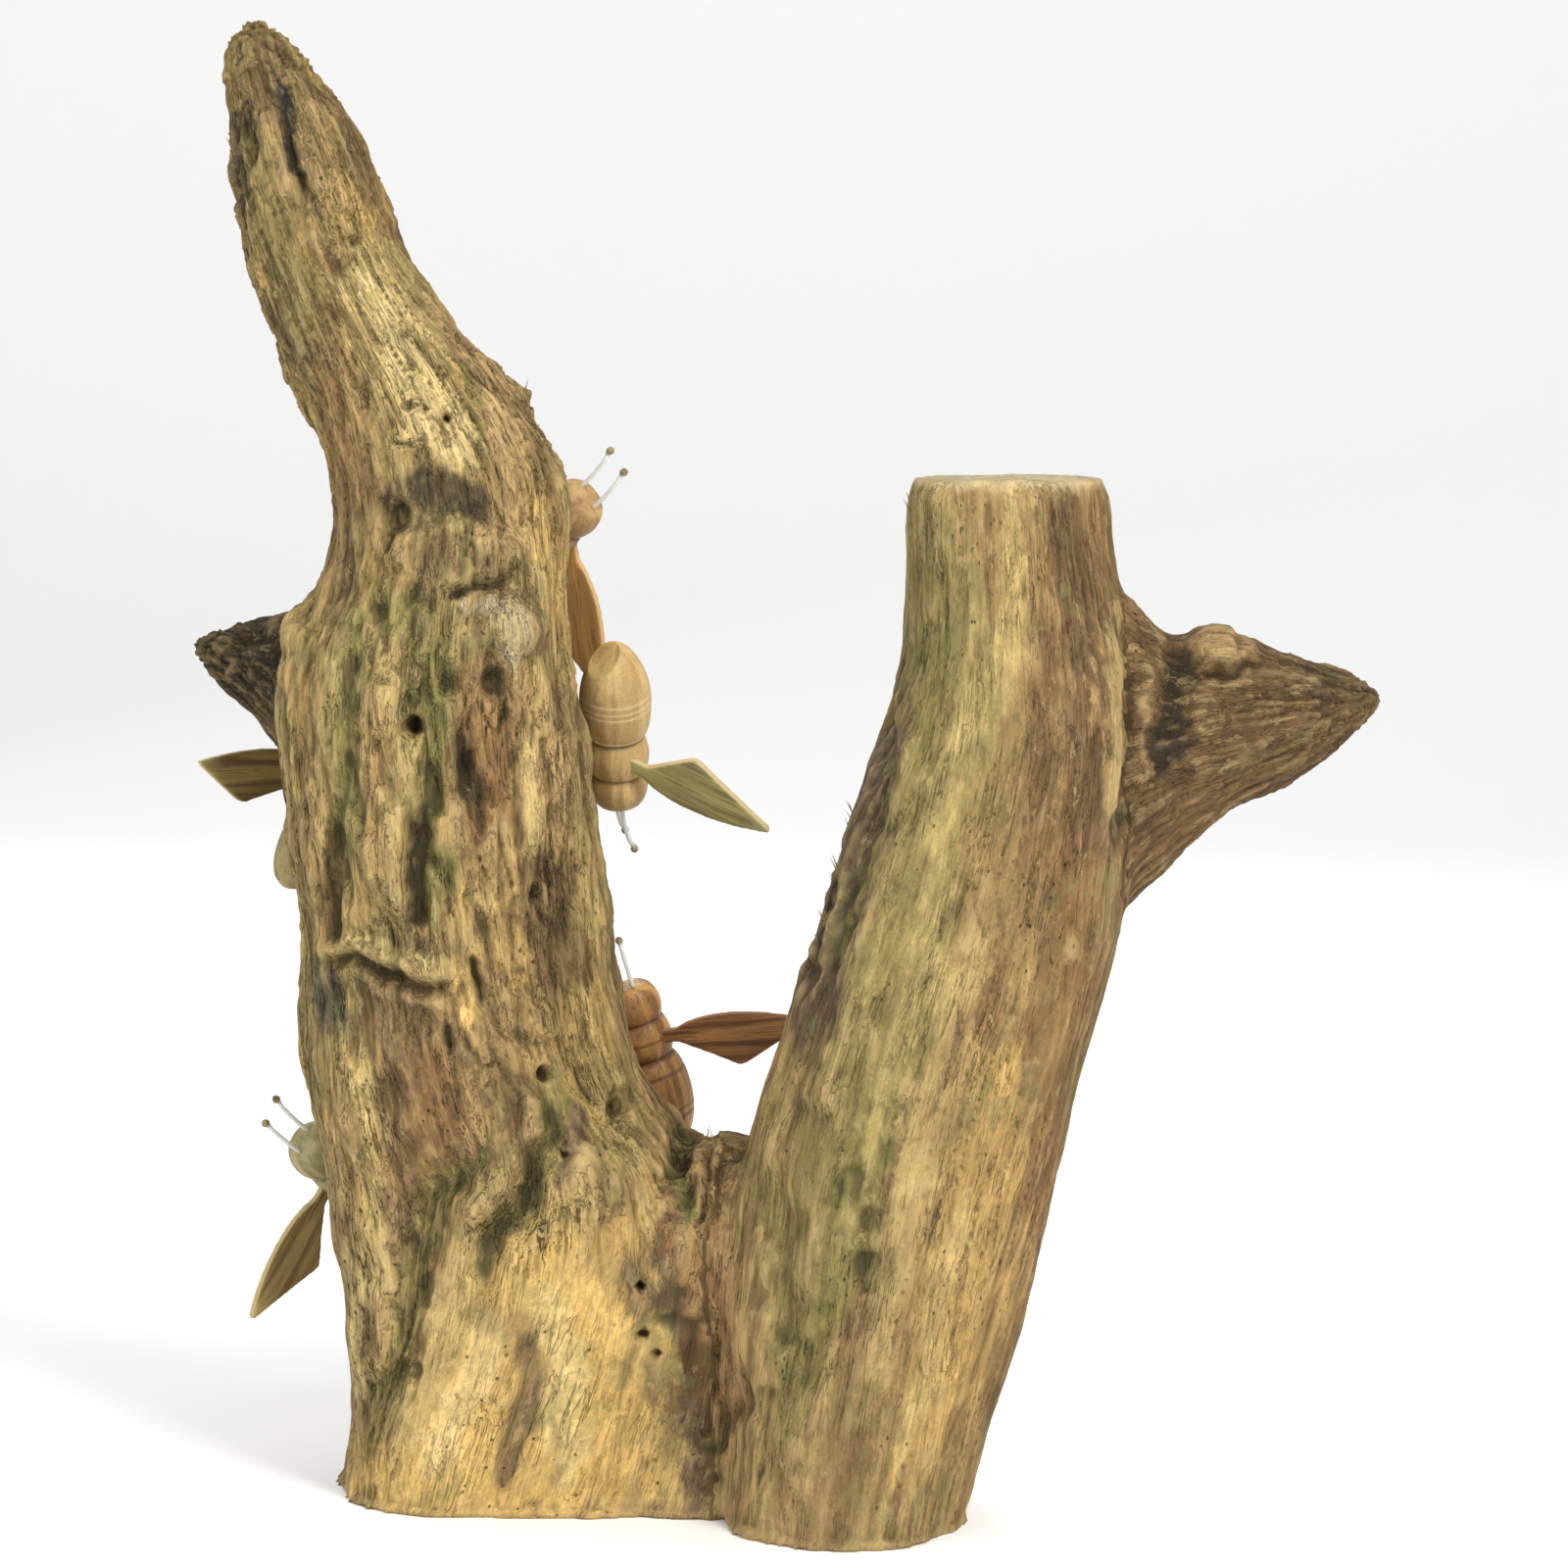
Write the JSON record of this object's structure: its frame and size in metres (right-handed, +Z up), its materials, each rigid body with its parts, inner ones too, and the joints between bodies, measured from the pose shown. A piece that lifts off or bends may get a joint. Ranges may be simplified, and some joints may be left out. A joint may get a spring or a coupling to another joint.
{
  "type": "insect hotel",
  "caption": "Free-standing forked root-wood log on a flat foot, with blind nest holes in its far side and turned wooden bees with flat wings pegged round it.",
  "frame": {"origin": "on the sawn foot, in the middle of the fork's base, where the part rests", "axes": "+Z up along the stems, +X towards the branch, +Y towards the drilled side"},
  "size_m": [0.4042, 0.1826, 0.5],
  "materials": {
    "root_wood": "weathered, matt, split along the grain",
    "turned_wood": "lathe turned, sanded, unvarnished",
    "tan_turned_wood": "lathe turned, darker heartwood",
    "wing_wood": "sawn and sanded, slightly greened",
    "tan_wing_wood": "sawn and sanded heartwood",
    "clear_line": "clear nylon line with a melted tip",
    "peg_wood": "plain dowel"
  },
  "bodies": {
    "root": {"log": "root_wood", "bee_high_body": "turned_wood", "bee_high_left_wing": "wing_wood", "bee_high_right_wing": "wing_wood", "bee_high_left_antenna": "clear_line", "bee_high_right_antenna": "clear_line", "bee_high_peg": "peg_wood", "bee_side_body": "turned_wood", "bee_side_left_wing": "wing_wood", "bee_side_right_wing": "wing_wood", "bee_side_left_antenna": "clear_line", "bee_side_right_antenna": "clear_line", "bee_side_peg": "peg_wood", "bee_fork_body": "tan_turned_wood", "bee_fork_left_wing": "tan_wing_wood", "bee_fork_right_wing": "tan_wing_wood", "bee_fork_left_antenna": "clear_line", "bee_fork_right_antenna": "clear_line", "bee_fork_peg": "peg_wood", "bee_left_body": "turned_wood", "bee_left_left_wing": "wing_wood", "bee_left_right_wing": "wing_wood", "bee_left_left_antenna": "clear_line", "bee_left_right_antenna": "clear_line", "bee_left_peg": "peg_wood", "bee_low_body": "turned_wood", "bee_low_left_wing": "wing_wood", "bee_low_right_wing": "wing_wood", "bee_low_left_antenna": "clear_line", "bee_low_right_antenna": "clear_line", "bee_low_peg": "peg_wood"}
  },
  "joints": []
}
